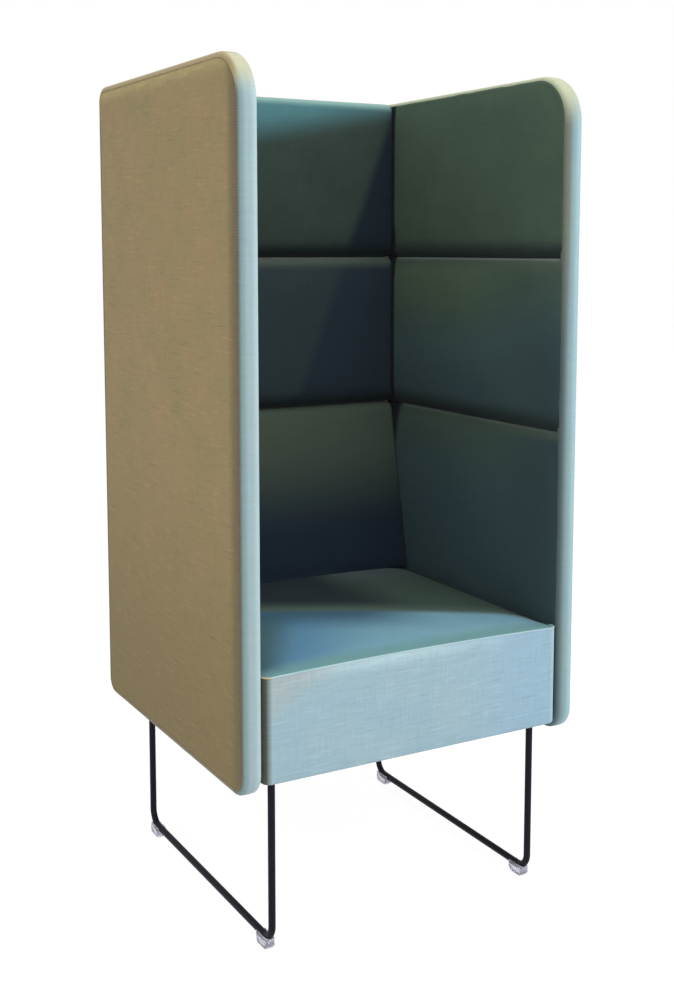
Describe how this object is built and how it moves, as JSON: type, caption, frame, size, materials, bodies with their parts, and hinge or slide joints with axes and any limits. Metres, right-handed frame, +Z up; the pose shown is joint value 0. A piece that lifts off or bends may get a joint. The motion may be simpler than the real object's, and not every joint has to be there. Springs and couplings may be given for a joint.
{
  "type": "high-backed lounge chair",
  "caption": "Upholstered lounge chair with a box seat between tall side and back screens that are lined with crowned pads, on black sled legs of bent rod with clear glides.",
  "frame": {"origin": "on the floor, under the middle of the chair's width and depth", "axes": "+X to the right as seen from the front, -Y towards the front, +Z up"},
  "size_m": [0.64, 0.61, 1.42],
  "materials": {
    "outer_cloth": "woven wool-blend cloth over thin foam, mottled olive brown",
    "lining_cloth": "woven wool-blend cloth over foam, dark green grey",
    "seat_cloth": "woven wool-blend cloth over foam, pale blue grey",
    "seat_foam": "open-cell upholstery foam, unseen",
    "screen_board": "birch plywood, unseen",
    "frame_timber": "beech rails and blocks, unseen",
    "webbing": "elastic polypropylene webbing, unseen",
    "underside_cloth": "black non-woven dust cover",
    "leg_steel": "black powder coat, fine texture",
    "glide_plastic": "clear polycarbonate with a pale lavender tint",
    "black_steel": "black oxide screws",
    "brass_insert": "turned brass inserts",
    "zinc_steel": "zinc-plated bolts, washers and nuts, unseen",
    "clip_nylon": "white nylon push-in clips, unseen"
  },
  "bodies": {
    "root": {"left_outer_cover": "outer_cloth", "right_outer_cover": "outer_cloth", "back_outer_cover": "outer_cloth", "left_side_board": "screen_board", "right_side_board": "screen_board", "back_board": "screen_board", "left_pad_lower": "lining_cloth", "left_pad_middle": "lining_cloth", "left_pad_upper": "lining_cloth", "right_pad_lower": "lining_cloth", "right_pad_middle": "lining_cloth", "right_pad_upper": "lining_cloth", "back_pad_lower": "lining_cloth", "back_pad_middle": "lining_cloth", "back_pad_upper": "lining_cloth", "seat_border": "seat_cloth", "seat_top_pad": "seat_cloth", "seat_foam": "seat_foam", "webbing_long": "webbing", "webbing_cross": "webbing", "seat_front_rail": "frame_timber", "seat_rear_rail": "frame_timber", "seat_left_rail": "frame_timber", "seat_right_rail": "frame_timber", "seat_cross_rail": "frame_timber", "seat_corner_blocks": "frame_timber", "left_seat_spacer": "screen_board", "right_seat_spacer": "screen_board", "rear_seat_spacer": "screen_board", "dust_cover": "underside_cloth", "left_leg_rod": "leg_steel", "right_leg_rod": "leg_steel", "left_leg_plate": "leg_steel", "right_leg_plate": "leg_steel", "glide_front_left": "glide_plastic", "glide_front_right": "glide_plastic", "glide_rear_left": "glide_plastic", "glide_rear_right": "glide_plastic", "leg_screws": "black_steel", "leg_inserts": "brass_insert", "seat_bolts": "zinc_steel", "seat_washers": "zinc_steel", "seat_tee_nuts": "zinc_steel", "screen_bolts": "zinc_steel", "barrel_nuts": "zinc_steel", "pad_clips": "clip_nylon"}
  },
  "joints": []
}
